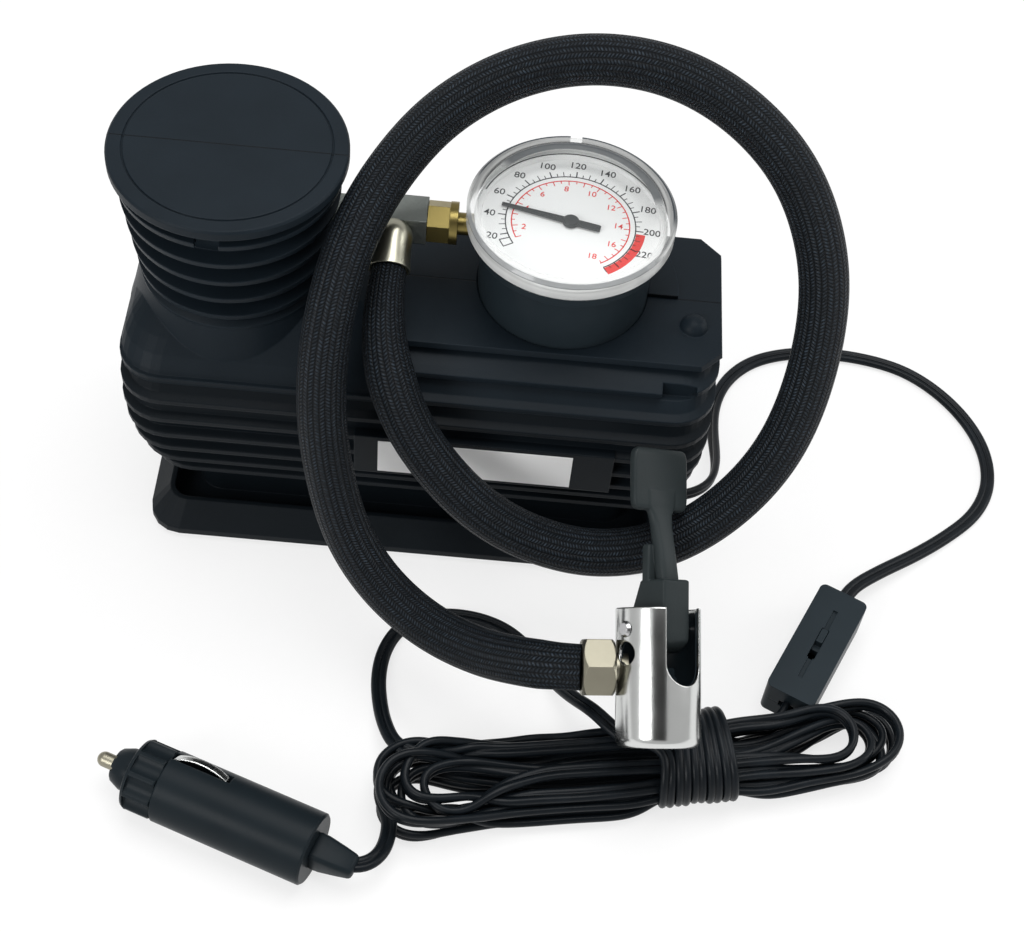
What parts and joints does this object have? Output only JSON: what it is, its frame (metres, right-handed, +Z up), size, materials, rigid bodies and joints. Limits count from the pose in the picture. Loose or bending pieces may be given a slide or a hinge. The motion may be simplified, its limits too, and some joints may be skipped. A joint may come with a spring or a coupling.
{
  "type": "portable tire inflator",
  "caption": "Portable 12 V tire inflator with a ribbed casing, dial gauge, braided air hose with thumb-lock chuck, and a flat cord with in-line switch and accessory plug.",
  "frame": {"origin": "on the table, under the middle of the casing", "axes": "+X along the casing, from the tower to the gauge; +Y to the back, away from the label panel; +Z up"},
  "size_m": [0.2788, 0.2159, 0.1618],
  "materials": {
    "shell_black": "fine matt moulded ABS",
    "base_black": "fine matt moulded ABS",
    "rubber_black": "soft matt rubber",
    "steel": "plain steel",
    "zinc": "zinc-plated steel",
    "die_cast": "raw die-cast, slightly olive grey",
    "alloy": "machined alloy",
    "brass": "turned brass",
    "nickel": "nickel plated",
    "chrome": "bright chrome plate",
    "white_plastic": "acetal",
    "gloss_black": "smooth black plastic",
    "lever_grey": "dark grey nylon",
    "clear": "clear polished plastic",
    "dial_white": "printed card",
    "braid": "black nylon braid over rubber",
    "cord": "soft black PVC",
    "copper": "laminated core with copper windings",
    "carbon": "pressed carbon",
    "gasket": "fibre"
  },
  "bodies": {
    "casing": {"front_shell": "shell_black", "rear_shell": "shell_black", "base_tray": "base_black", "rubber_feet": "rubber_black", "shell_screws": "zinc", "base_screws": "zinc", "cord_grommet": "rubber_black", "motor_can": "steel", "motor_magnets": "carbon", "motor_end_cap": "gloss_black", "brushes": "carbon", "motor_screws": "zinc", "gear_frame": "die_cast", "gear_axle": "steel", "pump_cylinder": "alloy", "head_gasket": "gasket", "cylinder_head": "die_cast", "head_screws": "zinc", "hose_elbow": "nickel", "hose_ferrule": "nickel", "brass_adapter": "brass", "air_hose": "braid", "chuck_nut": "nickel", "chuck_barrel": "chrome", "chuck_core": "gloss_black", "chuck_seal": "rubber_black", "lever_pin": "steel", "gauge_case": "gloss_black", "gauge_lens": "clear", "dial_plate": "dial_white", "gauge_movement": "brass", "bourdon_tube": "brass", "cord_from_body": "cord", "switch_bottom": "gloss_black", "switch_top": "gloss_black", "cord_to_hank": "cord", "cord_hank": "cord", "cord_loop": "cord", "cord_to_plug": "cord", "plug_relief": "rubber_black", "plug_body": "gloss_black", "plug_collar": "gloss_black", "plug_nose": "gloss_black", "tip_spring": "steel", "plug_fuse": "clear"},
    "armature": {"armature": "copper", "motor_pinion": "brass"},
    "gear": {"drive_gear": "white_plastic", "crank_pin": "steel"},
    "piston": {"piston": "alloy", "wrist_pin": "steel", "piston_ring": "rubber_black"},
    "rod": {"con_rod": "alloy"},
    "pointer": {"pointer": "gloss_black"},
    "sector": {"sector_gear": "brass"},
    "lever": {"thumb_lever": "lever_grey"},
    "slider": {"switch_slider": "gloss_black"},
    "tip": {"plug_tip": "steel"},
    "contact_a": {"side_contact_a": "chrome"},
    "contact_b": {"side_contact_b": "chrome"}
  },
  "joints": [
    {"name": "armature_spin", "type": "hinge", "parent": "casing", "child": "armature", "pos_m": [-0.008, 0, 0.062], "axis": [1, 0, 0], "continuous": true},
    {"name": "gear_spin", "type": "hinge", "parent": "casing", "child": "gear", "pos_m": [-0.04, 0, 0.0404], "axis": [1, 0, 0], "continuous": true},
    {"name": "piston_slide", "type": "slide", "parent": "casing", "child": "piston", "axis": [0, 0, 1], "range_m": [-0.012, 0]},
    {"name": "rod_swing", "type": "hinge", "parent": "piston", "child": "rod", "pos_m": [-0.0555, 0, 0.0924], "axis": [1, 0, 0], "range_deg": [-7.5, 7.5]},
    {"name": "sector_turn", "type": "hinge", "parent": "casing", "child": "sector", "pos_m": [0.0395, -0.01245, 0.105], "axis": [0, 0, 1], "range_deg": [-5.2, 22.05]},
    {"name": "pointer_turn", "type": "hinge", "parent": "casing", "child": "pointer", "pos_m": [0.0395, 0.002, 0.105], "axis": [0, 0, 1], "range_deg": [-220.6, 52.1]},
    {"name": "lever_fold", "type": "hinge", "parent": "casing", "child": "lever", "pos_m": [0.07355, -0.09026, 0.04925], "axis": [0.8117, 0.3444, -0.4717], "range_deg": [0, 90]},
    {"name": "switch_slide", "type": "slide", "parent": "casing", "child": "slider", "axis": [0.4384, 0.8988, 0], "range_m": [-0.006, 0]},
    {"name": "tip_press", "type": "slide", "parent": "casing", "child": "tip", "axis": [0.9415, -0.3371, 0], "range_m": [0, 0.003], "stiffness_N_per_m": 400, "springref_m": -0.002},
    {"name": "contact_a_press", "type": "slide", "parent": "casing", "child": "contact_a", "axis": [-0.1786, -0.4989, -0.848], "range_m": [0, 0.0015], "stiffness_N_per_m": 500, "springref_m": -0.001},
    {"name": "contact_b_press", "type": "slide", "parent": "casing", "child": "contact_b", "axis": [0.1786, 0.4989, 0.848], "range_m": [0, 0.0015], "stiffness_N_per_m": 500, "springref_m": -0.001}
  ],
  "couplings": [
    {"joint": "gear_spin", "follows": "armature_spin", "ratio": -0.22},
    {"joint": "pointer_turn", "follows": "sector_turn", "ratio": -10}
  ]
}
